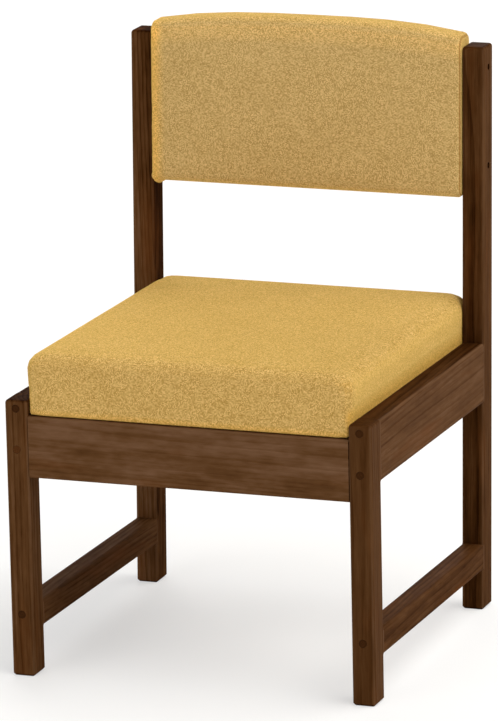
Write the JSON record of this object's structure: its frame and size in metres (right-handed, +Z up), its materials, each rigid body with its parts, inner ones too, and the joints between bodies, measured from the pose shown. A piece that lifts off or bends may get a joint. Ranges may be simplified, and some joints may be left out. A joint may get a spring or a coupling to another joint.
{
  "type": "dining side chair",
  "caption": "Armless wooden dining chair: square legs, raked straight rear posts, butted rails and low side stretchers, with a drop-in upholstered seat and an arched upholstered back pad.",
  "frame": {"origin": "on the floor, under the middle of the chair's bounding box", "axes": "+Z up; the chair faces -Y; +X is to the right of someone who looks at its front, and left in the names is -X"},
  "size_m": [0.533, 0.5526, 0.845],
  "materials": {
    "stained_wood": "softwood stained dark brown, satin lacquer",
    "plug_wood": "stained end-grain plugs, a little darker than the legs",
    "raw_wood": "bare plywood and beech dowels, hidden inside",
    "zinc_steel": "zinc-plated wood screws",
    "foam": "open-cell upholstery foam, hidden inside",
    "woven_fabric": "mustard tweed upholstery, matt, with yellow and tan flecks"
  },
  "bodies": {
    "root": {"front_leg_left": "stained_wood", "front_leg_right": "stained_wood", "rear_post_left": "stained_wood", "rear_post_right": "stained_wood", "side_rail_left": "stained_wood", "side_rail_right": "stained_wood", "side_stretcher_left": "stained_wood", "side_stretcher_right": "stained_wood", "front_rail": "stained_wood", "rear_rail": "stained_wood", "corner_block_front_left": "stained_wood", "corner_block_front_right": "stained_wood", "corner_block_rear_left": "stained_wood", "corner_block_rear_right": "stained_wood", "dowel_front_left_low": "raw_wood", "dowel_front_left_high": "raw_wood", "dowel_front_right_low": "raw_wood", "dowel_front_right_high": "raw_wood", "dowel_rear_left_low": "raw_wood", "dowel_rear_left_high": "raw_wood", "dowel_rear_right_low": "raw_wood", "dowel_rear_right_high": "raw_wood", "plug_front_left_rail_high": "plug_wood", "plug_front_left_rail_low": "plug_wood", "plug_front_left_stretcher": "plug_wood", "plug_front_right_rail_high": "plug_wood", "plug_front_right_rail_low": "plug_wood", "plug_front_right_stretcher": "plug_wood", "plug_rear_left_rail_high": "plug_wood", "plug_rear_left_rail_low": "plug_wood", "plug_rear_left_stretcher": "plug_wood", "plug_rear_right_rail_high": "plug_wood", "plug_rear_right_rail_low": "plug_wood", "plug_rear_right_stretcher": "plug_wood", "screw_front_left_rail_high": "zinc_steel", "screw_front_left_rail_low": "zinc_steel", "screw_front_left_stretcher": "zinc_steel", "screw_front_right_rail_high": "zinc_steel", "screw_front_right_rail_low": "zinc_steel", "screw_front_right_stretcher": "zinc_steel", "screw_rear_left_rail_high": "zinc_steel", "screw_rear_left_rail_low": "zinc_steel", "screw_rear_left_stretcher": "zinc_steel", "screw_rear_right_rail_high": "zinc_steel", "screw_rear_right_rail_low": "zinc_steel", "screw_rear_right_stretcher": "zinc_steel", "pad_screw_left_low": "zinc_steel", "pad_screw_left_high": "zinc_steel", "pad_screw_right_low": "zinc_steel", "pad_screw_right_high": "zinc_steel", "seat_screw_front_left": "zinc_steel", "seat_screw_front_right": "zinc_steel", "seat_screw_rear_left": "zinc_steel", "seat_screw_rear_right": "zinc_steel", "seat_board": "raw_wood", "seat_foam": "foam", "seat_cover": "woven_fabric", "pad_board": "raw_wood", "pad_foam": "foam", "pad_cover": "woven_fabric"}
  },
  "joints": []
}
